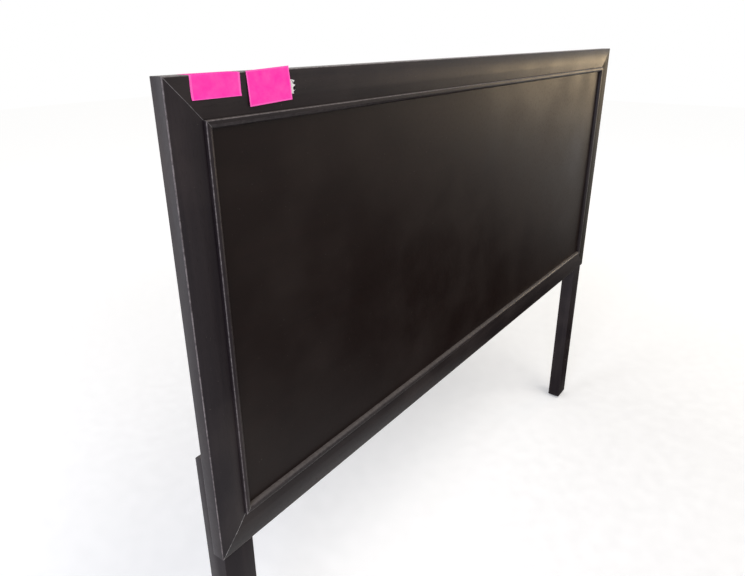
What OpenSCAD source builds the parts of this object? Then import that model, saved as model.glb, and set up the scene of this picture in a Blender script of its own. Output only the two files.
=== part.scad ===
// Queen-size bed headboard: a mitred frame-and-panel board on two half-lapped legs.
// Axes: +X to the right, +Y to the wall, +Z up. The origin is on the floor, under the
// middle of the board. All sizes are in millimetres.
//
// Every frame member is drawn once as a bar that lies along X with its outer edge on
// z = 0, its front plane on y = 0 and its width growing along +Z. Four placements then
// turn that bar into the bottom, top, left and right side of the frame.

/* [Board] */
// Overall width of the board, outer edge to outer edge
board_w = 1600; // [1400:10:2000]
// Height of the framed board, without the legs
board_h = 692; // [600:1:800]
// Thickness of the frame at its outer edge
board_t = 22; // [20:0.5:25]
// Height of the frame's bottom edge above the floor
clearance_h = 508; // [420:1:560]

/* [Frame moulding] */
// Width of the flat outer face of a frame member
flat_w = 34; // [28:0.5:36]
// Width of the sloped face between the flat face and the bead
slope_w = 17.5; // [15:0.5:21]
// How far the slope has fallen behind the flat face where it meets the bead
slope_fall = 1.5; // [0.5:0.1:3]
// Width of the rounded bead between the slope and the panel
bead_w = 11.5; // [10:0.1:14]
// How far the bead's crest stands in front of the flat face
bead_rise = 3; // [2:0.1:6]
// Width of the round on the bead's outer side
bead_round_out = 1.5; // [1:0.1:4]
// Width of the round on the bead's inner side
bead_round_in = 6; // [4:0.1:7]
// Chamfer along the outer corners of the frame
edge_chamfer = 1.2; // [0.5:0.1:2]

/* [Panel] */
// Thickness of the veneered panel
panel_t = 6; // [5:0.5:8]
// Depth of the panel's face behind the flat face
panel_depth = 4.5; // [3:0.1:5]
// Solid width of a frame member outside the panel's rabbet
rabbet_w = 40; // [38:0.5:41]
// Gap round the panel, so that it can move in its rabbet
panel_gap = 1; // [0.5:0.1:2]
// Width of the strips that hold the panel in
strip_w = 15; // [13:0.5:18]
// Thickness of the strips that hold the panel in
strip_t = 11; // [9:0.5:11]

/* [Legs] */
// Width of a leg
leg_w = 58; // [56:1:70]
// Thickness of a leg below the frame
leg_t = 38; // [36:0.5:42]
// How far the leg's front lies behind the frame's front
leg_set_back = 4; // [2:0.5:5]
// How far the leg's outer face lies inside the frame's side
leg_inset = 5; // [2:0.5:6]
// Height of the half lap behind the frame
lap_h = 171; // [160:1:200]
// Chamfer round the foot and along the leg's top
foot_chamfer = 4; // [2:0.5:5]

/* [Bed frame slots] */
// Width of a slot for a bed frame bolt
slot_w = 9; // [8.5:0.5:11]
// Length of a slot, end to end
slot_len = 45; // [35:1:50]
// Height of the lower slot's centre above the floor
slot_low_z = 170; // [150:1:200]
// Distance between the two slot centres
slot_pitch = 76; // [65:1:90]

/* [Fasteners] */
// Height of the lower leg bolt above the frame's bottom edge
bolt_low = 60; // [50:1:65]
// Distance between the two bolts of a leg
bolt_pitch = 70; // [60:1:80]
// Diameter of a leg bolt's shank
bolt_d = 6; // [5:0.5:6]
// Number of brads in the top strip, and in the bottom one
brads_long = 6; // [3:1:8]
// Number of brads in each side strip
brads_short = 3; // [2:1:3]
// Thickness of a foot glide
glide_t = 4; // [3.5:0.5:5]

/* [Price notes] */
// Side of a square paper note
note_size = 76.2; // [70:0.1:80]
// Thickness of a note
note_t = 0.4; // [0.3:0.1:0.5]
// Height of the folded note that hangs in front
note_drop = 28; // [20:1:40]
// Height of the loose note
loose_note_h = 43; // [30:1:50]
// Tilt of the loose note
loose_note_tilt = 2.4; // [0:0.1:4]

/* [Hidden] */
$fn = 48;

espresso = "#2b2523";
espresso_light = "#3a3331";
raw_wood = "#b48a5c";
dark_board = "#241e1c";
steel = "#b9bcc0";
zinc = "#c9c6b8";
nylon = "#1c1c1e";
note_pink = "#ff2fb4";

eps = 0.1;
leg_back = leg_set_back + leg_t;
front_y = -(leg_back - bead_rise) / 2;
top_z = clearance_h + board_h;
mid_z = clearance_h + board_h / 2;
side_x = board_w / 2;
panel_back = panel_depth + panel_t;
bead_start = flat_w + slope_w;
bead_end = bead_start + bead_w;

// Outline of a frame member, as [depth, distance from the outer edge]
member_outline = [
    [0, edge_chamfer],
    [0, flat_w],
    [slope_fall, bead_start],
    [panel_depth, bead_start],
    [panel_depth, rabbet_w],
    [board_t, rabbet_w],
    [board_t, edge_chamfer],
    [board_t - edge_chamfer, 0],
    [edge_chamfer, 0]
];

// The bead's face: up from the slope to the flat plane, a quarter ellipse to the flat
// crown, a quarter ellipse down from it, and straight down to the panel
bead_steps = 8;
bead_outer_face = [
    for (i = [0 : bead_steps])
        let (a = 90 * i / bead_steps)
        [
            -bead_rise * sin(a),
            bead_start + bead_round_out * (1 - cos(a))
        ]
];
bead_inner_face = [
    for (i = [0 : bead_steps])
        let (a = 90 * i / bead_steps)
        [
            bead_round_in - bead_rise - bead_round_in * cos(a),
            bead_end - bead_round_in * (1 - sin(a))
        ]
];
bead_outline = concat(
    bead_outer_face,
    bead_inner_face,
    [[panel_depth, bead_end], [panel_depth, bead_start]]
);

// Outline of a back strip, in the corner that the panel leaves in the rabbet
strip_outline = [
    [panel_back, rabbet_w],
    [panel_back, rabbet_w + strip_w],
    [panel_back + strip_t, rabbet_w + strip_w],
    [panel_back + strip_t, rabbet_w]
];

// Mitre biscuit: a lens, half of it in each of two frame members
biscuit_len = 47;
biscuit_wide = 15;
biscuit_t = 4;
biscuit_depth = 11;
biscuit_r = (biscuit_len * biscuit_len / 4 + biscuit_wide * biscuit_wide / 4) / biscuit_wide;
biscuit_in = rabbet_w / 2;

// Leg bolts, washers and threaded inserts
bolt_in = 22;
bolt_heights = [bolt_low, bolt_low + bolt_pitch];
counterbore_d = 19;
counterbore_h = 5;
washer_d = 18;
washer_t = 1.2;
washer_hole_d = bolt_d + 0.6;
head_d = 16;
head_t = 2.4;
socket_af = 4;
socket_h = 1.4;
insert_d = 10;
insert_len = 12;
insert_bore_d = bolt_d + 0.2;
bolt_seat = leg_back - counterbore_h + washer_t;
bolt_tip = board_t - insert_len + 2;
leg_hole_d = bolt_d + 1;

// Foot glides and their nails
glide_d = 24;
glide_recess_d = 7;
glide_recess_h = 2;
nail_d = 2;
nail_head_d = 6;
nail_head_t = 1;
nail_len = 20;

// Brads that hold the strips, driven outwards into the rabbet's wall
brad_d = 1.6;
brad_head_d = 2.8;
brad_head_t = 0.7;
brad_len = 27;
brad_depth = panel_back + strip_t / 2;
brad_end_gap = 90;

// Batten up the middle of the back
batten_w = 60;
batten_t = 12;
batten_end_gap = 4;
batten_screw_x = 15;
batten_screw_in = 20;
screw_d = 4;
screw_head_d = 8;
screw_head_h = 2.6;
screw_len = 24;

// The notes' places along the top rail, measured from the board's left side
folded_note_x = 36.5;
loose_note_x = 124.3;
loose_note_low = 42.2;
loose_note_lean = 3.8;
folded_note_back = note_size - note_drop - board_t;

// ---- helpers -------------------------------------------------------------------

// A bar of the frame with mitred ends: along X, outer edge on z = 0, growing up
module mitred_bar(length, outline) {
    reach = bead_end + 10;
    intersection() {
        translate([-length / 2, 0, 0])
            rotate([90, 0, 90])
                linear_extrude(height = length)
                    polygon(outline);
        translate([0, board_t + eps, 0])
            rotate([90, 0, 0])
                linear_extrude(height = board_t + bead_rise + 2 * eps)
                    polygon([
                        [-length / 2, 0],
                        [length / 2, 0],
                        [length / 2 - reach, reach],
                        [-length / 2 + reach, reach]
                    ]);
    }
}

module at_bottom() {
    translate([0, front_y, clearance_h])
        children();
}

module at_top() {
    translate([0, front_y, top_z])
        mirror([0, 0, 1])
            children();
}

module at_left() {
    translate([-side_x, front_y, mid_z])
        rotate([0, 90, 0])
            children();
}

module at_right() {
    mirror([1, 0, 0])
        at_left()
            children();
}

// A cylinder that runs along +Y, from depth d0 to d1 behind the frame's front plane
module depth_rod(d, d0, d1, x, z) {
    translate([x, front_y + d0, z])
        rotate([-90, 0, 0])
            cylinder(d = d, h = d1 - d0);
}

// Evenly spaced places along a length, centred on 0
function spread(count, length) =
    [for (i = [0 : count - 1]) -length / 2 + i * length / (count - 1)];

// ---- corner biscuits -----------------------------------------------------------

// side and level are -1 or 1 and say which corner; slack widens the lens for its slot
module biscuit_lens(side, level, slack) {
    shift = biscuit_r - biscuit_wide / 2;
    round_r = biscuit_r + slack;
    thick = biscuit_t + 2 * slack;
    corner_x = side * (side_x - biscuit_in);
    corner_z = mid_z + level * (board_h / 2 - biscuit_in);
    translate([corner_x, front_y + biscuit_depth, corner_z])
        rotate([0, -45 * side * level, 0])
            rotate([90, 0, 0])
                intersection() {
                    translate([0, shift, 0])
                        cylinder(r = round_r, h = thick, center = true);
                    translate([0, -shift, 0])
                        cylinder(r = round_r, h = thick, center = true);
                }
}

module mitre_biscuits() {
    color(raw_wood)
        for (side = [-1, 1], level = [-1, 1])
            biscuit_lens(side, level, 0);
}

// Slots for the biscuits, over every corner in the two lists
module biscuit_slots(sides, levels) {
    for (side = sides, level = levels)
        biscuit_lens(side, level, 0.15);
}

// ---- brads ---------------------------------------------------------------------

// Shanks of a row of brads, in the bar's own place, from the strip into the member
module brad_row(count, length, shank_d) {
    for (x = spread(count, length - 2 * brad_end_gap))
        translate([x, brad_depth, rabbet_w + strip_w - brad_len])
            cylinder(d = shank_d, h = brad_len);
}

module brad_heads(count, length) {
    for (x = spread(count, length - 2 * brad_end_gap))
        translate([x, brad_depth, rabbet_w + strip_w])
            cylinder(d = brad_head_d, h = brad_head_t);
}

module brads(count, length) {
    union() {
        brad_row(count, length, brad_d - 0.1);
        brad_heads(count, length);
    }
}

module strip_brads() {
    color(steel) {
        at_top() brads(brads_long, board_w);
        at_bottom() brads(brads_long, board_w);
        at_left() brads(brads_short, board_h);
        at_right() brads(brads_short, board_h);
    }
}

// ---- frame ---------------------------------------------------------------------

// Pilot holes for the batten's screws, at the two heights or at one of them
module batten_screw_holes(levels, d) {
    for (side = [-1, 1], level = levels)
        depth_rod(d, board_t + batten_t - screw_len - eps, board_t + batten_t + eps,
                  side * batten_screw_x, mid_z + level * (board_h / 2 - batten_screw_in));
}

// Blind holes in the stiles for the threaded inserts
module insert_holes(side) {
    for (h = bolt_heights)
        depth_rod(insert_d + 0.1, board_t - insert_len, board_t + eps,
                  side * (side_x - bolt_in), clearance_h + h);
}

module long_member() {
    difference() {
        mitred_bar(board_w, member_outline);
        brad_row(brads_long, board_w, brad_d);
    }
}

module short_member() {
    difference() {
        mitred_bar(board_h, member_outline);
        brad_row(brads_short, board_h, brad_d);
    }
}

module top_rail() {
    color(espresso)
        difference() {
            at_top() long_member();
            biscuit_slots([-1, 1], [1]);
            batten_screw_holes([1], screw_d);
        }
}

module bottom_rail() {
    color(espresso)
        difference() {
            at_bottom() long_member();
            biscuit_slots([-1, 1], [-1]);
            batten_screw_holes([-1], screw_d);
        }
}

module left_stile() {
    color(espresso)
        difference() {
            at_left() short_member();
            biscuit_slots([-1], [-1, 1]);
            insert_holes(-1);
        }
}

module right_stile() {
    color(espresso)
        difference() {
            at_right() short_member();
            biscuit_slots([1], [-1, 1]);
            insert_holes(1);
        }
}

module top_bead() {
    color(espresso_light)
        at_top() mitred_bar(board_w, bead_outline);
}

module bottom_bead() {
    color(espresso_light)
        at_bottom() mitred_bar(board_w, bead_outline);
}

module left_bead() {
    color(espresso_light)
        at_left() mitred_bar(board_h, bead_outline);
}

module right_bead() {
    color(espresso_light)
        at_right() mitred_bar(board_h, bead_outline);
}

// ---- panel and what holds it ---------------------------------------------------

module center_panel() {
    margin = rabbet_w + panel_gap;
    color(dark_board)
        translate([-side_x + margin, front_y + panel_depth, clearance_h + margin])
            cube([board_w - 2 * margin, panel_t, board_h - 2 * margin]);
}

module long_strip() {
    difference() {
        mitred_bar(board_w, strip_outline);
        brad_row(brads_long, board_w, brad_d);
    }
}

module short_strip() {
    difference() {
        mitred_bar(board_h, strip_outline);
        brad_row(brads_short, board_h, brad_d);
    }
}

module top_back_strip() {
    color(dark_board)
        at_top() long_strip();
}

module bottom_back_strip() {
    color(dark_board)
        at_bottom() long_strip();
}

module left_back_strip() {
    color(dark_board)
        at_left() short_strip();
}

module right_back_strip() {
    color(dark_board)
        at_right() short_strip();
}

// Countersunk clearance hole or screw head: a cone that opens to the back
module screw_cone(side, level, d_small, d_large) {
    translate([
        side * batten_screw_x,
        front_y + board_t + batten_t - screw_head_h,
        mid_z + level * (board_h / 2 - batten_screw_in)
    ])
        rotate([-90, 0, 0])
            cylinder(d1 = d_small, d2 = d_large, h = screw_head_h);
}

module center_batten() {
    color(dark_board)
        difference() {
            translate([-batten_w / 2, front_y + board_t, clearance_h + batten_end_gap])
                cube([batten_w, batten_t, board_h - 2 * batten_end_gap]);
            batten_screw_holes([-1, 1], screw_d + 0.4);
            for (side = [-1, 1], level = [-1, 1])
                screw_cone(side, level, screw_d + 0.4, screw_head_d + 0.4);
        }
}

module batten_screws() {
    color(steel)
        for (side = [-1, 1], level = [-1, 1])
            union() {
                depth_rod(screw_d - 0.2, board_t + batten_t - screw_len,
                          board_t + batten_t - screw_head_h,
                          side * batten_screw_x,
                          mid_z + level * (board_h / 2 - batten_screw_in));
                screw_cone(side, level, screw_d - 0.2, screw_head_d);
            }
}

// ---- legs ----------------------------------------------------------------------

// Side view of a leg, as [depth, height]: full thickness below the frame, half lap above
leg_side = [
    [leg_set_back + foot_chamfer, glide_t],
    [leg_back - foot_chamfer, glide_t],
    [leg_back, glide_t + foot_chamfer],
    [leg_back, clearance_h + lap_h - foot_chamfer],
    [leg_back - foot_chamfer, clearance_h + lap_h],
    [board_t, clearance_h + lap_h],
    [board_t, clearance_h],
    [leg_set_back, clearance_h],
    [leg_set_back, glide_t + foot_chamfer]
];

// Front view of a leg, as [distance from its outer face, height]
leg_front = [
    [foot_chamfer, glide_t],
    [leg_w - foot_chamfer, glide_t],
    [leg_w, glide_t + foot_chamfer],
    [leg_w, clearance_h + lap_h],
    [0, clearance_h + lap_h],
    [0, glide_t + foot_chamfer]
];

leg_x = side_x - leg_inset - leg_w / 2;

module slot_cutter(z) {
    straight = slot_len - slot_w;
    far = leg_back + eps;
    near = leg_set_back - eps;
    translate([-slot_w / 2, front_y + near, z - straight / 2])
        cube([slot_w, far - near, straight]);
    for (end = [-1, 1])
        depth_rod(slot_w, near, far, 0, z + end * straight / 2);
}

// A leg about its own middle; bolt_x is where its bolts lie from that middle
module leg(bolt_x) {
    difference() {
        intersection() {
            translate([-leg_w / 2, front_y, 0])
                rotate([90, 0, 90])
                    linear_extrude(height = leg_w)
                        polygon(leg_side);
            translate([-leg_w / 2, front_y + leg_back + eps, 0])
                rotate([90, 0, 0])
                    linear_extrude(height = leg_back + 2 * eps)
                        polygon(leg_front);
        }
        for (h = bolt_heights) {
            depth_rod(leg_hole_d, board_t - eps, leg_back, bolt_x, clearance_h + h);
            depth_rod(counterbore_d, leg_back - counterbore_h, leg_back + eps,
                      bolt_x, clearance_h + h);
        }
        for (i = [0, 1])
            slot_cutter(slot_low_z + i * slot_pitch);
        translate([0, front_y + (leg_set_back + leg_back) / 2, 0])
            cylinder(d = nail_d + 0.1, h = nail_len + nail_head_t + 2);
    }
}

bolt_from_leg_middle = side_x - bolt_in - leg_x;

module left_leg() {
    color(espresso)
        translate([-leg_x, 0, 0])
            leg(-bolt_from_leg_middle);
}

module right_leg() {
    color(espresso)
        translate([leg_x, 0, 0])
            leg(bolt_from_leg_middle);
}

// ---- leg fasteners -------------------------------------------------------------

// Flat-headed bolt with a hexagonal socket, its head in the leg's counterbore
module leg_bolts(side) {
    color(zinc)
        for (h = bolt_heights)
            difference() {
                union() {
                    depth_rod(bolt_d, bolt_tip, bolt_seat + eps,
                              side * (side_x - bolt_in), clearance_h + h);
                    depth_rod(head_d, bolt_seat, bolt_seat + head_t,
                              side * (side_x - bolt_in), clearance_h + h);
                }
                translate([
                    side * (side_x - bolt_in),
                    front_y + bolt_seat + head_t - socket_h,
                    clearance_h + h
                ])
                    rotate([-90, 0, 0])
                        cylinder(d = socket_af / cos(30), h = socket_h + eps, $fn = 6);
            }
}

module leg_washers(side) {
    color(steel)
        for (h = bolt_heights)
            difference() {
                depth_rod(washer_d, bolt_seat - washer_t, bolt_seat,
                          side * (side_x - bolt_in), clearance_h + h);
                depth_rod(washer_hole_d, bolt_seat - washer_t - eps, bolt_seat + eps,
                          side * (side_x - bolt_in), clearance_h + h);
            }
}

module leg_inserts(side) {
    color(zinc)
        for (h = bolt_heights)
            difference() {
                depth_rod(insert_d, board_t - insert_len, board_t,
                          side * (side_x - bolt_in), clearance_h + h);
                depth_rod(insert_bore_d, board_t - insert_len - eps, board_t + eps,
                          side * (side_x - bolt_in), clearance_h + h);
            }
}

module left_leg_bolts() {
    leg_bolts(-1);
}

module right_leg_bolts() {
    leg_bolts(1);
}

module left_leg_washers() {
    leg_washers(-1);
}

module right_leg_washers() {
    leg_washers(1);
}

module left_leg_inserts() {
    leg_inserts(-1);
}

module right_leg_inserts() {
    leg_inserts(1);
}

// ---- feet ----------------------------------------------------------------------

module at_foot(side) {
    translate([side * leg_x, front_y + (leg_set_back + leg_back) / 2, 0])
        children();
}

module foot_glide(side) {
    color(nylon)
        at_foot(side)
            rotate_extrude()
                polygon([
                    [nail_d / 2 + 0.1, glide_recess_h],
                    [glide_recess_d / 2, glide_recess_h],
                    [glide_recess_d / 2, 0],
                    [glide_d / 2 - 1.5, 0],
                    [glide_d / 2, 1.5],
                    [glide_d / 2, glide_t],
                    [nail_d / 2 + 0.1, glide_t]
                ]);
}

module left_foot_glide() {
    foot_glide(-1);
}

module right_foot_glide() {
    foot_glide(1);
}

module glide_nails() {
    color(steel)
        for (side = [-1, 1])
            at_foot(side)
                union() {
                    translate([0, 0, glide_recess_h])
                        cylinder(d = nail_d, h = nail_len - glide_recess_h);
                    translate([0, 0, glide_recess_h - nail_head_t])
                        cylinder(d = nail_head_d, h = nail_head_t);
                }
}

// ---- paper notes ---------------------------------------------------------------

// Square note folded over the top rail: a front leaf, the top, and a leaf behind
module folded_price_note() {
    color(note_pink)
        translate([-side_x + folded_note_x, front_y, top_z])
            rotate([90, 0, 90])
                linear_extrude(height = note_size)
                    polygon([
                        [-note_t, -note_drop],
                        [0, -note_drop],
                        [0, 0],
                        [board_t, 0],
                        [board_t, -folded_note_back],
                        [board_t + note_t, -folded_note_back],
                        [board_t + note_t, note_t],
                        [-note_t, note_t]
                    ]);
}

// Shorter note, stuck on askew by its top edge, with its foot sprung out from the rail
module loose_price_note() {
    color(note_pink)
        translate([-side_x + loose_note_x, front_y, top_z - loose_note_low])
            rotate([0, -loose_note_tilt, 0])
                translate([0, 0, loose_note_low])
                    rotate([-loose_note_lean, 0, 0])
                        translate([0, -note_t, -loose_note_low])
                            cube([note_size, note_t, loose_note_h]);
}

// ---- every node, by name --------------------------------------------------------

top_rail();
bottom_rail();
left_stile();
right_stile();
top_bead();
bottom_bead();
left_bead();
right_bead();
center_panel();
top_back_strip();
bottom_back_strip();
left_back_strip();
right_back_strip();
strip_brads();
center_batten();
batten_screws();
mitre_biscuits();
left_leg();
right_leg();
left_leg_bolts();
right_leg_bolts();
left_leg_washers();
right_leg_washers();
left_leg_inserts();
right_leg_inserts();
left_foot_glide();
right_foot_glide();
glide_nails();
folded_price_note();
loose_price_note();
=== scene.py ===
# %% [markdown]
# # A bed headboard: mitred frame, bead, veneered panel, bolt-on legs
# The headboard is a framed panel about 1.6 m wide on two legs, stained espresso brown and
# sprayed with satin lacquer. Its structure is already fixed in CAD. This lesson dresses
# that structure: it gives every visible wooden piece the soft edges and the worn, dusty
# lacquer of a used bed, and it leaves the hidden pieces and the fasteners as they are.

import math

import bmesh
import bpy
from mathutils import Matrix, Vector, noise


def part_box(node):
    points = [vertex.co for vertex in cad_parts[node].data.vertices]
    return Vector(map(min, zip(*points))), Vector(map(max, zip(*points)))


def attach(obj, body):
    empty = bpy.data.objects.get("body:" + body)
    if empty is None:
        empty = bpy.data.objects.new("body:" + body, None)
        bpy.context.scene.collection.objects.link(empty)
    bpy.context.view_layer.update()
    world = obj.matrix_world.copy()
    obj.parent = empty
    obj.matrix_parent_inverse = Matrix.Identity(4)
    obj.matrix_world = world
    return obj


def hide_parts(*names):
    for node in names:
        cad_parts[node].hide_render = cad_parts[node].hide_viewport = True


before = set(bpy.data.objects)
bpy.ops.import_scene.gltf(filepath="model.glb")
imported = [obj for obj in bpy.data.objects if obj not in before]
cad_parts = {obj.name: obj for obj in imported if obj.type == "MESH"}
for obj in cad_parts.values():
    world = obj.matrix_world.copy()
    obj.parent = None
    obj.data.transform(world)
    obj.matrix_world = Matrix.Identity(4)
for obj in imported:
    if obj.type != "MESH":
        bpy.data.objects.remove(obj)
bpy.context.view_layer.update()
scene = bpy.context.scene

# %% [markdown]
# ## Where everything is
# The pieces have to land exactly where the CAD has them, so the places are read from the
# CAD nodes' boxes and not typed in. A few sizes of the moulding can't be read from a box,
# such as where its flat face ends, and those are named here once, in metres.

# %% Measure the frame
MM = 0.001
rail_low, rail_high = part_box("top_rail")
stile_low, stile_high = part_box("left_stile")
bead_low, bead_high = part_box("left_bead")
panel_low, panel_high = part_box("center_panel")
strip_low, strip_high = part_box("left_back_strip")

board_w = rail_high.x - rail_low.x
board_top = rail_high.z
board_bottom = stile_low.z
board_h = board_top - board_bottom
mid_z = (board_top + board_bottom) / 2
member_w = stile_high.x - stile_low.x
back_y = stile_high.y

flat_w = 34 * MM
front_y = stile_low.y
board_t = back_y - front_y
rabbet_w = strip_low.x - stile_low.x
panel_y = panel_low.y
print(f"board {board_w:.3f} x {board_h:.3f} x {board_t:.3f} m, moulding {member_w * 1000:.1f} mm wide")

# %% [markdown]
# ## Camera
# A phone held a little above the board's left end looks along it and down. The lens is
# short and the camera is near, so the left end is large and the right end falls away.
# The camera stands where that view is seen, with a plain rotation and no shift.

# %% Place the camera
CAMERA_PLACE = (-1.2321, -0.6202, 1.2398)
CAMERA_YAW = 53.623
CAMERA_PITCH = 22.280
CAMERA_ROLL = 0.348
CAMERA_LENS_MM = 29.768

camera = bpy.data.objects.new("camera", bpy.data.cameras.new("camera"))
scene.collection.objects.link(camera)
camera.data.lens = CAMERA_LENS_MM
camera.data.sensor_width = 36.0
turn = Matrix.Rotation(math.radians(-CAMERA_YAW), 4, "Z")
tilt = Matrix.Rotation(math.radians(90 - CAMERA_PITCH), 4, "X")
roll = Matrix.Rotation(math.radians(-CAMERA_ROLL), 4, "Z")
camera.matrix_world = Matrix.Translation(CAMERA_PLACE) @ turn @ tilt @ roll
scene.camera = camera
print("camera looks along", [round(v, 3) for v in camera.matrix_world.to_3x3() @ Vector((0, 0, -1))])

# %% [markdown]
# ## Shapes from an outline
# Rails, stiles, beads and strips are all one job for a spindle moulder: an outline run
# along a length and cut off at 45 degrees. A few vertices make the outline, one extrude
# makes the bar, and two bisects saw the mitres. The alternative, a curve with a bevel
# object, gives no square back and no clean mitre.
#
# Each bar is drawn along X with its outer edge on z = 0 and then turned into place, as in
# the workshop. The bevel softens the edges that a hand would meet, and a face attribute
# remembers which faces lie on an edge or a mitre, so that the lacquer can wear there and a
# pale line can be painted there as a highlight.

# %% Helpers for mitred bars
# face attribute for rubbed film and for painted highlights along edges and the bead
WEAR_AND_HIGHLIGHT = "edge_wear_and_highlight"


def place_bar(side):
    """The transform that puts a bar on one side of the frame."""
    if side == "bottom":
        return Matrix.Translation((0, front_y, board_bottom))
    if side == "top":
        return Matrix.Translation((0, front_y, board_top)) @ Matrix.Scale(-1, 4, (0, 0, 1))
    left = Matrix.Translation((-board_w / 2, front_y, mid_z)) @ Matrix.Rotation(math.pi / 2, 4, "Y")
    return left if side == "left" else Matrix.Scale(-1, 4, (1, 0, 0)) @ left


def outline_bar(outline, length):
    """A mitred bmesh bar along X from an outline of (depth, distance from the outer edge)."""
    bm = bmesh.new()
    ring = [bm.verts.new((-length / 2, depth, w)) for depth, w in outline]
    face = bm.faces.new(ring)
    grown = bmesh.ops.extrude_face_region(bm, geom=[face])
    moved = [v for v in grown["geom"] if isinstance(v, bmesh.types.BMVert)]
    bmesh.ops.translate(bm, verts=moved, vec=(length, 0, 0))
    for end in (-1, 1):
        cut = bmesh.ops.bisect_plane(
            bm, geom=bm.verts[:] + bm.edges[:] + bm.faces[:], dist=1e-7,
            plane_co=(end * length / 2, 0, 0), plane_no=(end, 0, 1), clear_outer=True)
        rim = [e for e in cut["geom_cut"] if isinstance(e, bmesh.types.BMEdge)]
        bmesh.ops.edgeloop_fill(bm, edges=rim)
    bmesh.ops.recalc_face_normals(bm, faces=bm.faces)
    return bm


def soften(bm, chooser, width, wear_and_highlight, segments=2):
    """Bevels the chosen edges and marks the new faces for rubbed film and painted highlights."""
    layer = bm.faces.layers.float.get(WEAR_AND_HIGHLIGHT) or bm.faces.layers.float.new(WEAR_AND_HIGHLIGHT)
    edges = [e for e in bm.edges if chooser(e)]
    made = bmesh.ops.bevel(
        bm, geom=edges, offset=width, offset_type="OFFSET", affect="EDGES",
        segments=segments, profile=0.5, material=-1, clamp_overlap=True)
    for f in made["faces"]:
        f[layer] = max(f[layer], wear_and_highlight)
    return len(edges)


def finish_piece(bm, name, material, smooth_angle=40):
    """Turns a bmesh into a piece that rides with the headboard."""
    bmesh.ops.recalc_face_normals(bm, faces=bm.faces)
    mesh = bpy.data.meshes.new(name)
    bm.to_mesh(mesh)
    bm.free()
    mesh.materials.append(material)
    mesh.polygons.foreach_set("use_smooth", [True] * len(mesh.polygons))
    mesh.set_sharp_from_angle(angle=math.radians(smooth_angle))
    piece = bpy.data.objects.new(name, mesh)
    scene.collection.objects.link(piece)
    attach(piece, "root")
    return piece

# %% [markdown]
# ## Finishes, one node at a time
# Every finish is a small graph of nodes. One helper adds a node with its settings and its
# links, whatever the kind, so that a graph reads from top to bottom like a recipe. Colours
# are written as the hex values that a paint card would carry, and one function turns them
# into the linear numbers that the renderer works with.

# %% Helpers for finishes


def linear(code):
    """A hex colour as linear red, green, blue and alpha."""
    parts = [int(code[i:i + 2], 16) / 255 for i in (1, 3, 5)]
    return [p / 12.92 if p <= 0.04045 else ((p + 0.055) / 1.055) ** 2.4 for p in parts] + [1.0]


def add(tree, kind, inputs=None, **settings):
    """Adds a node; inputs gives each socket a value, or the output that feeds it."""
    made = tree.nodes.new(kind)
    for name, value in settings.items():
        setattr(made, name, value)
    for socket, value in (inputs or {}).items():
        if isinstance(value, bpy.types.NodeSocket):
            tree.links.new(value, made.inputs[socket])
        else:
            made.inputs[socket].default_value = value
    return made


def new_finish(name):
    """An empty material and its tree."""
    material = bpy.data.materials.new(name)
    material.use_nodes = True
    material.node_tree.nodes.clear()
    return material, material.node_tree


def mixed(tree, factor, first, second):
    """A colour between two, by a factor from 0 to 1."""
    return add(tree, "ShaderNodeMix", {0: factor, 6: first, 7: second},
               data_type="RGBA").outputs[2]


def ranged(tree, value, low, high, to_low=0.0, to_high=1.0):
    """A value moved from one range to another and held inside it."""
    made = add(tree, "ShaderNodeMapRange",
               {0: value, 1: low, 2: high, 3: to_low, 4: to_high}, clamp=True)
    return made.outputs[0]


def pattern(tree, period_mm, detail=2.0, rough=0.5, warp=0.0):
    """Noise whose features are period_mm long along X, Y and Z of the object."""
    place = add(tree, "ShaderNodeTexCoord").outputs["Object"]
    scaled = add(tree, "ShaderNodeMapping", {0: place, 3: [1000 / p for p in period_mm]})
    made = add(tree, "ShaderNodeTexNoise",
               {0: scaled.outputs[0], 2: 1.0, 3: detail, 4: rough, 8: warp})
    return made.outputs[0]


def along(direction, length, across):
    """Feature sizes in millimetres for a grain that runs along one axis."""
    return [length if axis == direction else across for axis in "XYZ"]


# %% [markdown]
# ## Espresso lacquer
# Import-market bedroom furniture is rubberwood or poplar, stained almost black-brown and
# sprayed with a satin nitrocellulose lacquer. The film is thin: the pores of the wood still
# telegraph through it as fine dashes, the sheen is uneven where hands and dust have been,
# and along sharp edges the film has rubbed through to a paler brown. The same pale colour
# is also a painted highlight along the front edges and the bead. Where two mitred
# members have moved apart, the opened joint shows as a pale hairline.
#
# The stain is a very dark base colour. The film's gloss stays in the same shader, with a
# lowered specular level because old satin lacquer is dull at every angle. Grain runs along
# each member, so the same recipe is used with its pattern turned.

# %% Make the espresso lacquers
JOINT = "open_joint"
STAIN = "#1f1a1b"
BARE = "#453a37"
PORE = "#0c0908"
HAZE = "#8d8078"
SPECK = "#a59c92"
DUST = "#9a9088"
# pale colour of rubbed film, also used as a painted highlight
RUBBED_AND_HIGHLIGHT = "#857d7c"
GLUE_LINE = "#d6d2d0"
FILM_SHEEN = 0.13
FRAME_GRAIN = 0.00006
PANEL_GRAIN = 0.00003


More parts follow.
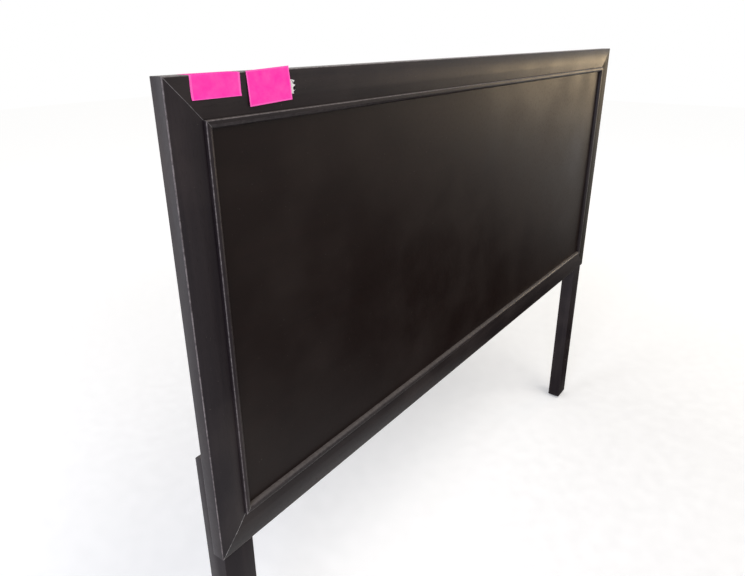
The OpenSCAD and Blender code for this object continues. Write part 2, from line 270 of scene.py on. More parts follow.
def espresso_lacquer(name, direction, stain, bare, roughness, sheen_level, grain_depth, mottle):
    """Satin lacquer over stained wood whose grain runs along one axis."""
    material, tree = new_finish(name)
    cathedral = pattern(tree, along(direction, 420, 16), 3.0, 0.55, 0.6)
    pores = pattern(tree, along(direction, 9, 0.9), 2.0, 0.6)
    haze = pattern(tree, (170, 170, 150), 3.0, 0.55)
    scuffs = pattern(tree, (7, 7, 7), 4.0, 0.7)
    specks = pattern(tree, (2.6, 2.6, 2.6), 1.0, 0.5)

    deep = linear(stain)
    warm = linear(bare)
    grain = ranged(tree, cathedral, 0.35, 0.7, 0.0, 0.16 * mottle)
    colour = mixed(tree, grain, deep, warm)
    colour = mixed(tree, ranged(tree, pores, 0.56, 0.72, 0.0, 0.5), colour, linear(PORE))
    colour = mixed(tree, ranged(tree, haze, 0.45, 0.75, 0.0, 0.05 * mottle), colour, linear(HAZE))
    colour = mixed(tree, ranged(tree, specks, 0.78, 0.82, 0.0, 0.16), colour, linear(SPECK))

    up = add(tree, "ShaderNodeSeparateXYZ", {0: add(tree, "ShaderNodeNewGeometry").outputs["Normal"]})
    settled = add(tree, "ShaderNodeMath", {0: ranged(tree, up.outputs[2], 0.5, 1.0, 0.0, 0.34),
                                           1: ranged(tree, scuffs, 0.3, 0.7, 0.5, 1.0)},
                  operation="MULTIPLY")
    colour = mixed(tree, settled.outputs[0], colour, linear(DUST))

    # marked faces go pale: rubbed film, and painted highlights on the front edges and the bead
    edge = add(tree, "ShaderNodeAttribute", attribute_name=WEAR_AND_HIGHLIGHT).outputs["Fac"]
    rubbed_and_highlight = add(tree, "ShaderNodeMath", {0: edge, 1: ranged(tree, scuffs, 0.38, 0.62, 0.25, 1.0)},
                 operation="MULTIPLY")
    colour = mixed(tree, rubbed_and_highlight.outputs[0], colour, linear(RUBBED_AND_HIGHLIGHT))
    joint = add(tree, "ShaderNodeAttribute", attribute_name=JOINT).outputs["Fac"]
    opened = add(tree, "ShaderNodeMath", {0: joint, 1: ranged(tree, scuffs, 0.35, 0.6, 0.2, 0.75)},
                 operation="MULTIPLY")
    colour = mixed(tree, opened.outputs[0], colour, linear(GLUE_LINE))

    gloss = ranged(tree, haze, 0.3, 0.7, roughness - 0.05, roughness + 0.07)
    gloss = add(tree, "ShaderNodeMath", {0: gloss, 1: ranged(tree, scuffs, 0.5, 0.8, 0.0, 0.12)},
                operation="ADD")
    height = add(tree, "ShaderNodeMath", {0: ranged(tree, pores, 0.5, 0.75, 1.0, 0.0),
                                          1: ranged(tree, scuffs, 0.4, 0.7, 0.0, 0.3)},
                 operation="ADD")
    relief = add(tree, "ShaderNodeBump", {"Strength": 0.35, "Distance": grain_depth,
                                          "Height": height.outputs[0]})
    film = add(tree, "ShaderNodeBsdfPrincipled", {
        "Base Color": colour, "Roughness": gloss.outputs[0], "Normal": relief.outputs[0],
        "IOR": 1.5, "Specular IOR Level": sheen_level})
    add(tree, "ShaderNodeOutputMaterial", {0: film.outputs[0]})
    return material


rail_lacquer = espresso_lacquer(
    "espresso_lacquer_rails", "X", STAIN, BARE, 0.35, FILM_SHEEN, FRAME_GRAIN, 1.0)
stile_lacquer = espresso_lacquer(
    "espresso_lacquer_stiles", "Z", "#1f1a1d", "#443a39", 0.36, FILM_SHEEN, FRAME_GRAIN, 1.0)
# the right stile alone has this duller film, and its darker stain is painted shade: a shaded copy of
# the stile lacquer
shaded_stile_lacquer = espresso_lacquer(
    "espresso_lacquer_stiles_painted_shade", "Z", "#191713", "#39332c", 0.50, 0.06, FRAME_GRAIN, 1.0)
panel_lacquer = espresso_lacquer(
    "espresso_lacquer_panel", "X", "#150c0a", "#291813", 0.40, 0.12, PANEL_GRAIN, 0.45)
print("lacquers:", [m.name for m in bpy.data.materials if m.name.startswith("espresso")])

# %% [markdown]
# ## Bare dark timber for the back
# Nobody sees the back of a headboard, so the factory stains it and stops there: no film, a
# matt surface, more grain and a few pale scratches from handling. It shares no gloss with
# the front, so it has its own short recipe.

# %% Make the back timber


def stained_timber(name, direction, stain, pale):
    """Thin stain on sawn and planed wood, without lacquer."""
    material, tree = new_finish(name)
    rings = pattern(tree, along(direction, 300, 9), 4.0, 0.6, 1.2)
    fibres = pattern(tree, along(direction, 22, 0.8), 3.0, 0.65)
    scratches = pattern(tree, along(direction, 2.5, 60), 2.0, 0.7)
    colour = mixed(tree, ranged(tree, rings, 0.35, 0.65), linear(stain), linear(pale))
    colour = mixed(tree, ranged(tree, fibres, 0.5, 0.75, 0.0, 0.45), colour, linear("#1a1411"))
    colour = mixed(tree, ranged(tree, scratches, 0.70, 0.76, 0.0, 0.3), colour, linear("#8a7766"))
    relief = add(tree, "ShaderNodeBump", {"Strength": 0.5, "Distance": 0.00012,
                                          "Height": ranged(tree, fibres, 0.3, 0.8, 1.0, 0.0)})
    wood = add(tree, "ShaderNodeBsdfPrincipled", {
        "Base Color": colour, "Roughness": ranged(tree, fibres, 0.3, 0.7, 0.62, 0.8),
        "Normal": relief.outputs[0], "IOR": 1.5, "Specular IOR Level": 0.3})
    add(tree, "ShaderNodeOutputMaterial", {0: wood.outputs[0]})
    return material


timber_across = stained_timber("stained_timber_across", "X", "#362c27", "#4b3d34")
timber_upright = stained_timber("stained_timber_upright", "Z", "#362c27", "#4b3d34")

# %% [markdown]
# ## Fasteners, glides and biscuits
# Bolts and washers are zinc plated: a dull yellow-grey metal with fine turning marks.
# Screws and brads are plain bright steel. The glides are moulded black nylon with a fine
# spark-eroded texture, and the biscuits are pressed beech with short, dense flecks. They
# are small, so one metal recipe with two colours serves all the hardware.

# %% Make the hardware finishes


def drawn_metal(name, tone, dull, roughness):
    """Plated or bright steel with turning marks half a millimetre apart."""
    material, tree = new_finish(name)
    marks = pattern(tree, (6, 0.5, 6), 2.0, 0.6)
    stains = pattern(tree, (4, 4, 4), 3.0, 0.6)
    colour = mixed(tree, ranged(tree, stains, 0.45, 0.7, 0.0, 0.6), linear(tone), linear(dull))
    relief = add(tree, "ShaderNodeBump", {"Strength": 0.2, "Distance": 0.00003, "Height": marks})
    metal = add(tree, "ShaderNodeBsdfPrincipled", {
        "Base Color": colour, "Metallic": 1.0, "Normal": relief.outputs[0],
        "Roughness": ranged(tree, marks, 0.3, 0.7, roughness - 0.06, roughness + 0.1)})
    add(tree, "ShaderNodeOutputMaterial", {0: metal.outputs[0]})
    return material


def moulded_nylon(name):
    """Black polyamide from a textured mould, scuffed grey by the floor."""
    material, tree = new_finish(name)
    grit = pattern(tree, (0.35, 0.35, 0.35), 2.0, 0.6)
    scuffs = pattern(tree, (5, 2, 5), 4.0, 0.7)
    worn = ranged(tree, scuffs, 0.52, 0.75, 0.0, 0.4)
    colour = mixed(tree, worn, linear("#18181a"), linear("#5d5b58"))
    relief = add(tree, "ShaderNodeBump", {"Strength": 0.3, "Distance": 0.00004, "Height": grit})
    plastic = add(tree, "ShaderNodeBsdfPrincipled", {
        "Base Color": colour, "Roughness": ranged(tree, scuffs, 0.3, 0.7, 0.45, 0.65),
        "Normal": relief.outputs[0], "IOR": 1.53})
    add(tree, "ShaderNodeOutputMaterial", {0: plastic.outputs[0]})
    return material


def pressed_beech(name):
    """Bare compressed beech with its short brown ray flecks."""
    material, tree = new_finish(name)
    flecks = pattern(tree, (3.5, 0.6, 0.6), 2.0, 0.6)
    tone = pattern(tree, (30, 8, 8), 2.0, 0.5)
    colour = mixed(tree, ranged(tree, tone, 0.3, 0.7), linear("#b48a5c"), linear("#c79f72"))
    colour = mixed(tree, ranged(tree, flecks, 0.6, 0.68, 0.0, 0.5), colour, linear("#8a5f38"))
    relief = add(tree, "ShaderNodeBump", {"Strength": 0.3, "Distance": 0.00006, "Height": flecks})
    wood = add(tree, "ShaderNodeBsdfPrincipled", {
        "Base Color": colour, "Roughness": ranged(tree, flecks, 0.3, 0.7, 0.6, 0.75),
        "Normal": relief.outputs[0], "IOR": 1.5})
    add(tree, "ShaderNodeOutputMaterial", {0: wood.outputs[0]})
    return material


zinc = drawn_metal("zinc_plated_steel", "#c9c6b8", "#8f8c80", 0.34)
bright = drawn_metal("bright_steel", "#b9bcc0", "#7f8286", 0.28)
nylon = moulded_nylon("moulded_black_nylon")
beech = pressed_beech("pressed_beech")
hardware = {
    "left_leg_bolts": zinc, "right_leg_bolts": zinc,
    "left_leg_washers": zinc, "right_leg_washers": zinc,
    "left_leg_inserts": zinc, "right_leg_inserts": zinc,
    "batten_screws": bright, "strip_brads": bright, "glide_nails": bright,
    "left_foot_glide": nylon, "right_foot_glide": nylon, "mitre_biscuits": beech}
for node_name, finish in hardware.items():
    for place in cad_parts[node_name].material_slots:
        place.material = finish
print("hardware dressed:", len(hardware))

# %% [markdown]
# ## Paper
# The price notes are fluorescent pink paper from a pad. Such paper is matt, and a dye that
# glows under daylight makes it look brighter than white paper, so the colour is close to
# the limit of what a screen can show. A little mottling and a soft fibre relief keep it
# from reading as plastic. Plain white paper shares the recipe.

# %% Make the papers


def pad_paper(name, dye, pale):
    """Matt uncoated paper; its fibres are drawn 1.5 mm long so that they show."""
    material, tree = new_finish(name)
    cloud = pattern(tree, (14, 14, 14), 3.0, 0.6)
    fibres = pattern(tree, (1.5, 1.5, 0.5), 3.0, 0.7)
    rim = add(tree, "ShaderNodeAttribute", attribute_name=WEAR_AND_HIGHLIGHT).outputs["Fac"]
    colour = mixed(tree, ranged(tree, cloud, 0.3, 0.7, 0.0, 0.3), linear(dye), linear(pale))
    colour = mixed(tree, ranged(tree, fibres, 0.5, 0.8, 0.0, 0.25), colour, linear(pale))
    lifted = add(tree, "ShaderNodeMath", {0: rim, 1: 0.55}, operation="MULTIPLY")
    colour = mixed(tree, lifted.outputs[0], colour, linear(pale))
    relief = add(tree, "ShaderNodeBump", {"Strength": 0.25, "Distance": 0.00005, "Height": fibres})
    paper = add(tree, "ShaderNodeBsdfPrincipled", {
        "Base Color": colour, "Roughness": ranged(tree, fibres, 0.3, 0.7, 0.75, 0.9),
        "Normal": relief.outputs[0], "IOR": 1.45, "Specular IOR Level": 0.25})
    add(tree, "ShaderNodeOutputMaterial", {0: paper.outputs[0]})
    return material


pink_paper = pad_paper("fluorescent_pink_paper", "#ff2fa8", "#ff74c4")
white_paper = pad_paper("torn_white_paper", "#e8e6e2", "#f6f4f0")

# %% [markdown]
# ## Rails and stiles
# Each member has a flat face 34 mm wide, and from there it slopes back to the bead. At the
# corners the four are mitred, glued and biscuited. They are drawn as the moulder cuts them
# and sawn at 45 degrees by two planes, and then three kinds of edge are softened: the outer
# edges that carry a sprayed radius, the turn from flat to slope, and the mouth of each
# mitre. On this headboard the lower left mitre has opened the most, so the pale line gets
# its strength end by end.

# %% Cut the four members
OUTER_RADIUS = 1.2 * MM
SLOPE_RADIUS = 1.5 * MM
SLOPE_FALL = 1.5 * MM
MITRE_MOUTH = 0.35 * MM
# front outer edges get a pale line that is rubbed film and partly a painted highlight; back edges are
# rubbed film only
FRONT_WEAR_AND_HIGHLIGHT, BACK_WEAR = 0.75, 0.45
OPENED, STARTED, TIGHT = 1.0, 0.45, 0.2
panel_depth = panel_y - front_y

MEMBER = [
    (0, 0), (0, flat_w), (SLOPE_FALL, member_w), (panel_depth, member_w),
    (panel_depth, rabbet_w), (board_t, rabbet_w), (board_t, 0)]


def runs_at(edge, depth, w):
    """True for an edge that runs along the bar at this depth and width."""
    return all(abs(v.co.y - depth) < 1e-6 and abs(v.co.z - w) < 1e-6 for v in edge.verts)


def open_mitres(bm, length, strengths, width, front_limit):
    """Opens the mouth of both mitres and marks it by its strength."""
    layer = bm.faces.layers.float.get(JOINT) or bm.faces.layers.float.new(JOINT)
    for end, strength in zip((-1, 1), strengths):
        caps = [f for f in bm.faces if f.normal.dot(Vector((end, 0, 1))) > 1.41]
        rim = {e for f in caps for e in f.edges}
        made = bmesh.ops.bevel(
            bm, geom=list(rim), offset=width, offset_type="OFFSET", affect="EDGES",
            segments=1, profile=0.5, material=-1, clamp_overlap=True)
        for f in made["faces"]:
            if f.calc_center_median().y < front_limit:
                f[layer] = strength


def cut_member(name, side, length, strengths, material):
    """Cuts one frame member, softens its edges and puts it in place."""
    bm = outline_bar(MEMBER, length)
    bm.faces.layers.float.new(WEAR_AND_HIGHLIGHT)
    soften(bm, lambda e: runs_at(e, 0, 0), OUTER_RADIUS, FRONT_WEAR_AND_HIGHLIGHT, segments=3)
    soften(bm, lambda e: runs_at(e, board_t, 0), OUTER_RADIUS, BACK_WEAR, segments=2)
    soften(bm, lambda e: runs_at(e, 0, flat_w), SLOPE_RADIUS, 0.0, segments=3)
    bm.normal_update()
    open_mitres(bm, length, strengths, MITRE_MOUTH, panel_depth)
    bm.transform(place_bar(side))
    piece = finish_piece(bm, name + "_lacquered", material)
    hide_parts(name)
    print(name, len(piece.data.polygons), "faces")


cut_member("top_rail", "top", board_w, (STARTED, TIGHT), rail_lacquer)
cut_member("bottom_rail", "bottom", board_w, (OPENED, TIGHT), rail_lacquer)
cut_member("left_stile", "left", board_h, (STARTED, OPENED), stile_lacquer)
# the right stile takes the darker copy of the stile lacquer: painted shade
cut_member("right_stile", "right", board_h, (TIGHT, TIGHT), shaded_stile_lacquer)

# %% [markdown]
# ## Bead
# A separate bead covers the joint between the frame and the panel. It stands up steeply
# from the foot of the slope, has a narrow flat crown 3 mm proud of the frame, and rounds
# over towards the panel. Two quarter ellipses and the crown between them give its outline,
# with enough steps that the rounds catch one clean line of light each. A pale line is also
# painted near the top of each round: a painted highlight, partly rubbed film.

# %% Cut the four beads
BEAD_RISE = 3.0 * MM
ROUND_OUT, ROUND_IN = 1.5 * MM, 6.0 * MM
BEAD_STEPS = 8
BEAD_MOUTH = 0.25 * MM
# pale lines near the top of both bead rounds: painted highlights, partly rubbed film
CREST_DEPTH, CREST_HIGHLIGHT_AND_WEAR = -2.2 * MM, 0.65
INNER_DEPTH, INNER_HIGHLIGHT_AND_WEAR = -1.6 * MM, 0.12
bead_w = bead_high.x - bead_low.x
bead_end = member_w + bead_w


def bead_outline():
    """Steep outer round, flat crown, deep inner round, and a flat back on the panel."""
    turns = [math.pi / 2 * i / BEAD_STEPS for i in range(BEAD_STEPS + 1)]
    outer = [(-BEAD_RISE * math.sin(a), member_w + ROUND_OUT * (1 - math.cos(a))) for a in turns]
    inner = [(ROUND_IN - BEAD_RISE - ROUND_IN * math.cos(a), bead_end - ROUND_IN * (1 - math.sin(a)))
             for a in turns]
    return outer + inner + [(panel_depth, bead_end), (panel_depth, member_w)]


def cut_bead(name, side, length, strengths, material):
    """Cuts one bead, paints a pale highlight line, partly rubbed film, along its two rounds, and puts
    it in place.
    """
    bm = outline_bar(bead_outline(), length)
    wear_and_highlight = bm.faces.layers.float.new(WEAR_AND_HIGHLIGHT)
    for f in bm.faces:
        middle = f.calc_center_median()
        if abs(f.normal.x) > 0.1 or abs(f.normal.y) > 0.999:
            continue
        if middle.z < member_w + ROUND_OUT and middle.y < CREST_DEPTH:
            f[wear_and_highlight] = CREST_HIGHLIGHT_AND_WEAR
        elif middle.z > member_w + ROUND_OUT and middle.y < INNER_DEPTH:
            f[wear_and_highlight] = INNER_HIGHLIGHT_AND_WEAR
    bm.normal_update()
    open_mitres(bm, length, strengths, BEAD_MOUTH, 0)
    bm.transform(place_bar(side))
    piece = finish_piece(bm, name + "_lacquered", material)
    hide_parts(name)


cut_bead("top_bead", "top", board_w, (STARTED, TIGHT), rail_lacquer)
cut_bead("bottom_bead", "bottom", board_w, (OPENED, TIGHT), rail_lacquer)
cut_bead("left_bead", "left", board_h, (STARTED, OPENED), stile_lacquer)
cut_bead("right_bead", "right", board_h, (TIGHT, TIGHT), stile_lacquer)
print("bead", round(bead_w * 1000, 1), "mm wide, crown", BEAD_RISE * 1000, "mm proud")

# %% [markdown]
# ## Panel
# The centre is 6 mm veneered board, sprayed with the frame. Thin board never stays truly
# flat: it breathes by a few tenths of a millimetre, and that is what makes its reflection
# drift from dark to light. The board is a subdivided block whose front face is pushed back
# by slow noise, and never forward, so that it stays behind the bead.

# %% Make the panel
PANEL_CUTS = 47
PANEL_WANDER = 0.35 * MM
PANEL_WAVE = 0.42
PANEL_SWING = 1.6
STILL_RIM, FADE_WIDTH = 0.025, 0.08


def make_panel():
    """The panel's block, with a front face that wanders slowly backwards."""
    size = panel_high - panel_low
    middle = (panel_high + panel_low) / 2
    bm = bmesh.new()
    bmesh.ops.create_cube(bm, size=1.0)
    bmesh.ops.scale(bm, vec=size, verts=bm.verts)
    bmesh.ops.translate(bm, vec=middle, verts=bm.verts)
    soften(bm, lambda e: True, 0.5 * MM, 0.0, segments=1)
    long_edges = [e for e in bm.edges if e.calc_length() > 0.1]
    bmesh.ops.subdivide_edges(bm, edges=long_edges, cuts=PANEL_CUTS, use_grid_fill=True)
    for v in bm.verts:
        if v.co.y - panel_low.y < 1e-6:
            reach = min(v.co.x - panel_low.x, panel_high.x - v.co.x,
                        v.co.z - panel_low.z, panel_high.z - v.co.z)
            fade = min(1.0, max(0.0, (reach - STILL_RIM) / FADE_WIDTH))
            drift = noise.noise(Vector((v.co.x / PANEL_WAVE, 3.7, v.co.z / PANEL_WAVE)))
            v.co.y += PANEL_WANDER * fade * (0.5 + 0.5 * max(-1.0, min(1.0, drift * PANEL_SWING)))
    piece = finish_piece(bm, "center_panel_lacquered", panel_lacquer)
    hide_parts("center_panel")
    return piece


panel = make_panel()
print("panel", len(panel.data.polygons), "faces")

# %% [markdown]
# ## Back strips
# Four square strips lie behind the panel in the rabbet and hold it against the bead. They
# are mitred too, with eased edges, in stained timber without film.

# %% Cut the back strips
strip_near = panel_high.y - front_y
strip_far = strip_high.y - front_y
strip_w = strip_high.x - strip_low.x
STRIP = [(strip_near, rabbet_w), (strip_near, rabbet_w + strip_w),
         (strip_far, rabbet_w + strip_w), (strip_far, rabbet_w)]


def cut_strip(name, side, length, material):
    """Cuts one back strip and puts it in place."""
    bm = outline_bar(STRIP, length)
    soften(bm, lambda e: runs_at(e, strip_far, rabbet_w + strip_w), 1.0 * MM, 0.0)
    soften(bm, lambda e: runs_at(e, strip_far, rabbet_w), 0.6 * MM, 0.0)
    bm.transform(place_bar(side))
    piece = finish_piece(bm, name + "_stained", material)
    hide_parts(name)


cut_strip("top_back_strip", "top", board_w, timber_across)
cut_strip("bottom_back_strip", "bottom", board_w, timber_across)
cut_strip("left_back_strip", "left", board_h, timber_upright)
cut_strip("right_back_strip", "right", board_h, timber_upright)

# %% [markdown]
# ## Legs and batten
# The legs carry slots, counterbores and a half lap, and the batten has countersinks. Their
# holes have to stay where the bolts and screws are, so these pieces start from a merged
# copy of the CAD shape. Its long outer edges are then rounded by about a millimetre, as a
# sander and a spray gun leave them.

# %% Dress the legs and the batten
MERGE = 0.002 * MM
EASED = 1.0 * MM
LEG_WEAR = 0.6


def rounded_copy(node_name, new_name, material, wear_and_highlight, shortest):
    """A merged copy of a CAD node with its long, square edges rounded."""
    bm = bmesh.new()
    bm.from_mesh(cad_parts[node_name].data)
    bmesh.ops.remove_doubles(bm, verts=bm.verts, dist=MERGE)
    bmesh.ops.dissolve_limit(bm, angle_limit=math.radians(0.5), verts=bm.verts, edges=bm.edges)

    def square(e):
        return (e.is_manifold and e.is_convex and e.calc_length() > shortest
                and e.calc_face_angle() > math.radians(40))

    count = soften(bm, square, EASED, wear_and_highlight)
    piece = finish_piece(bm, new_name, material)
    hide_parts(node_name)
    print(new_name, "rounded", count, "edges,", len(piece.data.polygons), "faces")


for leg in ("left_leg", "right_leg"):
    rounded_copy(leg, leg + "_lacquered", stile_lacquer, LEG_WEAR, 10 * MM)
rounded_copy("center_batten", "center_batten_stained", timber_upright, 0.0, 11 * MM)

# %% [markdown]
# ## Price notes
# Two 3 inch notes sit on the top rail: one folded over it, one stuck on askew so that it
# leans out from the rail. A note is a flat grid that is bent to its path and then given
# a thickness. They are blank here. A torn scrap of white paper is caught under the loose
# note's right edge.

# %% Fold the notes
folded_low, folded_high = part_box("folded_price_note")
loose_low, loose_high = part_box("loose_price_note")
note_size = folded_high.x - folded_low.x
SHEET_T = 0.15 * MM
LOOSE_H = 43 * MM
LOOSE_TILT = math.radians(2.4)
GAP = 0.1 * MM
FOLD_RADIUS = 1.2 * MM
CURL_HEIGHT, CURL_OUT = 9 * MM, 1.1 * MM


def paper_grid(width, height, columns, rows):
    """A flat sheet in X and Z with its lower left corner at the origin."""
    bm = bmesh.new()
    bmesh.ops.create_grid(bm, x_segments=columns, y_segments=rows, size=0.5)
    bmesh.ops.translate(bm, vec=(0.5, 0.5, 0), verts=bm.verts)
    bmesh.ops.scale(bm, vec=(width, height, 1), verts=bm.verts)
    bmesh.ops.rotate(bm, matrix=Matrix.Rotation(math.pi / 2, 3, "X"), verts=bm.verts)
    layer = bm.faces.layers.float.new(WEAR_AND_HIGHLIGHT)
    for f in bm.faces:
        f[layer] = 1.0 if any(e.is_boundary for e in f.edges) else 0.0
    return bm


def finish_paper(bm, name, material):
    """Gives the bent sheet its thickness and makes it a piece."""
    bmesh.ops.recalc_face_normals(bm, faces=bm.faces)
    bmesh.ops.solidify(bm, geom=bm.faces[:], thickness=SHEET_T)
    return finish_piece(bm, name, material, smooth_angle=50)


def fold_over(bm):
    """Bends a sheet over the rail: front leaf, rounded top, leaf behind."""
    drop = board_top - folded_low.z
    near, far = front_y - GAP, back_y + GAP
    top = board_top + GAP
    deep = far - near
    for v in bm.verts:
        s, x = v.co.z, v.co.x
        ripple = 0.5 * MM * math.sin(x / note_size * 5.1 + 0.6)
        front_straight = drop - FOLD_RADIUS
        arc = math.pi / 2 * FOLD_RADIUS
        if s < front_straight:
            curl = max(0.0, 1 - s / CURL_HEIGHT) ** 2
            out = curl * (CURL_OUT + ripple * 0.6)
            v.co = (x, near - out, board_top - drop + s)
        elif s < front_straight + arc:
            a = (s - front_straight) / FOLD_RADIUS
            v.co = (x, near + FOLD_RADIUS * (1 - math.cos(a)),
                    top - FOLD_RADIUS + FOLD_RADIUS * math.sin(a))
        elif s < front_straight + arc + deep - 2 * FOLD_RADIUS:
            v.co = (x, near + FOLD_RADIUS + (s - front_straight - arc), top)
        elif s < front_straight + 2 * arc + deep - 2 * FOLD_RADIUS:
            a = (s - front_straight - arc - (deep - 2 * FOLD_RADIUS)) / FOLD_RADIUS
            v.co = (x, far - FOLD_RADIUS + FOLD_RADIUS * math.sin(a),
                    top - FOLD_RADIUS + FOLD_RADIUS * math.cos(a))
        else:
            left = s - front_straight - 2 * arc - (deep - 2 * FOLD_RADIUS)
            v.co = (x, far + 0.02 * left, top - FOLD_RADIUS - left)


folded = paper_grid(note_size, note_size, 24, 96)
fold_over(folded)
bmesh.ops.translate(folded, vec=(folded_low.x, 0, 0), verts=folded.verts)
folded_note = finish_paper(folded, "folded_price_note_paper", pink_paper)
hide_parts("folded_price_note")

# %% Lean the loose note and tuck the scrap under it
TUCK = 0.25 * MM
FOOT_LEAN, BOW, CORNER_LIFT = 2.1 * MM, 0.5 * MM, 0.6 * MM
LIFT_FROM = 0.75
SINK = 0.1 * MM


def lean_out():
    """The loose note lies close to the rail at its top and leans out at its foot."""
    bm = paper_grid(note_size, LOOSE_H, 36, 24)
    for v in bm.verts:
        across, up = v.co.x / note_size, v.co.z / LOOSE_H
        lean = (1 - up) * FOOT_LEAN
        bow = BOW * math.sin(math.pi * up) * (0.4 + 0.6 * across)
        lift = CORNER_LIFT * max(0.0, across - LIFT_FROM) / (1 - LIFT_FROM) * (1 - up) ** 2
        v.co.y = -(TUCK + lean + bow + lift)
    turned = Matrix.Rotation(-LOOSE_TILT, 3, "Y")
    bmesh.ops.rotate(bm, matrix=turned, verts=bm.verts)
    low_x = min(v.co.x for v in bm.verts)
    low_z = min(v.co.z for v in bm.verts)
    shift = (loose_low.x - low_x, front_y, loose_low.z - low_z - SINK)
    bmesh.ops.translate(bm, vec=shift, verts=bm.verts)
    return bm


loose_note = finish_paper(lean_out(), "loose_price_note_paper", pink_paper)
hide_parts("loose_price_note")

# outline of the torn scrap in millimetres from the loose note's lower right corner
SCRAP = [(-14, 3), (-3, 2), (1, 5), (5, 4.5), (3, 8), (9, 8.5), (5, 11.5), (11, 13), (7, 16),
         (12, 19), (7.5, 21), (10.5, 25), (4, 26.5), (-12, 29)]


def torn_scrap():
    """A flat sheet with the scrap's outline, behind the note's right edge."""
    bm = bmesh.new()
    corner = (loose_high.x - 2 * MM, front_y - GAP, loose_low.z + 2 * MM)
    rim = [bm.verts.new((corner[0] + x * MM, corner[1], corner[2] + z * MM)) for x, z in SCRAP]
    bm.faces.new(rim)
    bmesh.ops.triangulate(bm, faces=bm.faces)
    bm.faces.layers.float.new(WEAR_AND_HIGHLIGHT)
    return bm


scrap = finish_paper(torn_scrap(), "torn_scrap_paper", white_paper)
print("notes:", folded_note.name, loose_note.name, scrap.name)

# %% [markdown]
# ## Studio
# The headboard stands on a pale floor in a white room. The room is white to the camera and
# in reflections, and dimmer as a source of light, so that the soft lamps can still model
# the mouldings. The floor is treated the same way, and it keeps the shadow at the feet.
#
# One thing here is not plain studio light. A dark cloth lies on the floor that only glossy
# rays see, and its place is worked out from where the camera stands. It keeps the white
# floor out of the panel's reflection in the camera's own view, where it makes the panel a
# good deal darker. Seen straight on it changes almost nothing, and an exported model goes
# without it. Leaving out the one call to dark_flag() removes it.

# %% Light the studio
scene.view_settings.view_transform = "Standard"

world = bpy.data.worlds.new("white_room")
scene.world = world
world.use_nodes = True
sky = world.node_tree
sky.nodes.clear()


def seen_directly(tree):
    """1 for camera, glossy and transmission rays, 0 for the rays that light surfaces."""
    path = add(tree, "ShaderNodeLightPath")
    either = add(tree, "ShaderNodeMath", {0: path.outputs["Is Camera Ray"],
                                          1: path.outputs["Is Glossy Ray"]}, operation="MAXIMUM")
    return add(tree, "ShaderNodeMath", {0: either.outputs[0],
                                        1: path.outputs["Is Transmission Ray"]},
               operation="MAXIMUM").outputs[0]


WHITE = linear("#ffffff")
ROOM_LIGHT = 0.45
dim = add(sky, "ShaderNodeBackground", {0: WHITE, 1: ROOM_LIGHT})
full = add(sky, "ShaderNodeBackground", {0: WHITE, 1: 1.0})
room = add(sky, "ShaderNodeMixShader",
           {0: seen_directly(sky), 1: dim.outputs[0], 2: full.outputs[0]})
add(sky, "ShaderNodeOutputWorld", {0: room.outputs[0]})


FLOOR_REACH = (0.9, 3.4)
FLOOR_LIFT = (0.17, 0.56)
FLOOR_HALF = 12.0


def pale_floor():
    """Matt pale vinyl, lifted towards white with distance for the rays that see it."""
    material, tree = new_finish("pale_floor")
    fleck = pattern(tree, (40, 40, 40), 3.0, 0.5)
    tone = mixed(tree, ranged(tree, fleck, 0.3, 0.7), linear("#f4f3f1"), linear("#fbfaf8"))
    matt = add(tree, "ShaderNodeBsdfDiffuse", {0: tone})
    place = add(tree, "ShaderNodeTexCoord").outputs["Object"]
    away = add(tree, "ShaderNodeVectorMath", {0: place}, operation="LENGTH").outputs["Value"]
    lift = ranged(tree, away, *FLOOR_REACH, *FLOOR_LIFT)
    lit = add(tree, "ShaderNodeEmission", {0: WHITE, 1: lift})
    both = add(tree, "ShaderNodeAddShader", {0: matt.outputs[0], 1: lit.outputs[0]})
    shown = add(tree, "ShaderNodeMixShader",
                {0: seen_directly(tree), 1: matt.outputs[0], 2: both.outputs[0]})
    add(tree, "ShaderNodeOutputMaterial", {0: shown.outputs[0]})
    return material


bm = bmesh.new()
bmesh.ops.create_grid(bm, x_segments=1, y_segments=1, size=FLOOR_HALF)
floor_mesh = bpy.data.meshes.new("floor")
bm.to_mesh(floor_mesh)
bm.free()
floor_mesh.materials.append(pale_floor())
floor = bpy.data.objects.new("floor", floor_mesh)
scene.collection.objects.link(floor)


FLAG_NEAR, FLAG_FAR, FLAG_HALF, FLAG_FADE = 1.3, 8.0, 1.6, 0.9
FLAG_TURN = 60


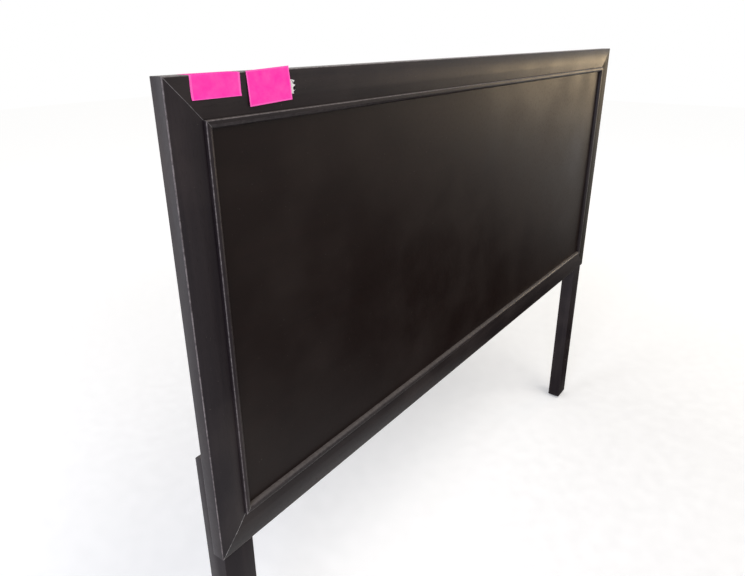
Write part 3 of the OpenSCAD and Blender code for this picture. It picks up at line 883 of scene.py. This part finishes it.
def dark_flag():
    """A dark cloth under the mirrored camera that only reflections see, faded at its rim."""
    material, tree = new_finish("dark_flag_cloth")
    place = add(tree, "ShaderNodeTexCoord").outputs["Object"]
    split = add(tree, "ShaderNodeSeparateXYZ", {0: place})
    limits = ((0, FLAG_NEAR), (0, FLAG_FAR), (1, -FLAG_HALF), (1, FLAG_HALF))
    cover = 1.0
    for (axis, edge), inward in zip(limits, (1, -1, 1, -1)):
        fade = ranged(tree, split.outputs[axis], edge, edge + inward * FLAG_FADE)
        cover = add(tree, "ShaderNodeMath", {0: cover, 1: fade}, operation="MULTIPLY").outputs[0]
    cloth = add(tree, "ShaderNodeBsdfDiffuse", {0: linear("#0c0b0a")})
    clear = add(tree, "ShaderNodeBsdfTransparent")
    shown = add(tree, "ShaderNodeMixShader", {0: cover, 1: clear.outputs[0], 2: cloth.outputs[0]})
    add(tree, "ShaderNodeOutputMaterial", {0: shown.outputs[0]})
    bm = bmesh.new()
    bmesh.ops.create_grid(bm, x_segments=1, y_segments=1, size=0.5)
    bmesh.ops.scale(bm, vec=(FLAG_FAR - FLAG_NEAR, 2 * FLAG_HALF, 1), verts=bm.verts)
    bmesh.ops.translate(bm, vec=((FLAG_FAR + FLAG_NEAR) / 2, 0, 0.01), verts=bm.verts)
    mesh = bpy.data.meshes.new("dark_flag")
    bm.to_mesh(mesh)
    bm.free()
    mesh.materials.append(material)
    flag = bpy.data.objects.new("dark_flag", mesh)
    flag.location = (CAMERA_PLACE[0], 2 * panel_y - CAMERA_PLACE[1], 0)
    flag.rotation_euler = (0, 0, math.radians(FLAG_TURN - 90))
    scene.collection.objects.link(flag)
    flag.visible_camera = False
    flag.visible_diffuse = False
    flag.visible_transmission = False
    flag.visible_shadow = False


dark_flag()


def soft_lamp(name, place, target, width, height, watts, warmth):
    """A large rectangular lamp that looks at a point."""
    data = bpy.data.lights.new(name, "AREA")
    data.shape = "RECTANGLE"
    data.size, data.size_y = width, height
    data.energy = watts
    data.color = linear(warmth)[:3]
    lamp = bpy.data.objects.new(name, data)
    look = (Vector(target) - Vector(place)).to_track_quat("-Z", "Y")
    lamp.matrix_world = Matrix.Translation(place) @ look.to_matrix().to_4x4()
    scene.collection.objects.link(lamp)


soft_lamp("window_left", (-3.2, -0.9, 2.2), (-0.4, 0.0, 0.8), 1.6, 1.6, 62, "#e4eaff")
soft_lamp("window_behind", (-2.8, 1.7, 0.9), (-0.8, 0.0, 0.8), 1.2, 1.6, 36, "#f6f8ff")
soft_lamp("overhead", (0.4, -1.6, 3.4), (0.0, 0.0, 0.8), 2.4, 1.6, 42, "#fffaf2")
soft_lamp("warm_right", (4.4, -1.25, 1.0), (0.5, 0.0, 1.15), 1.6, 0.5, 16, "#ffdca4")
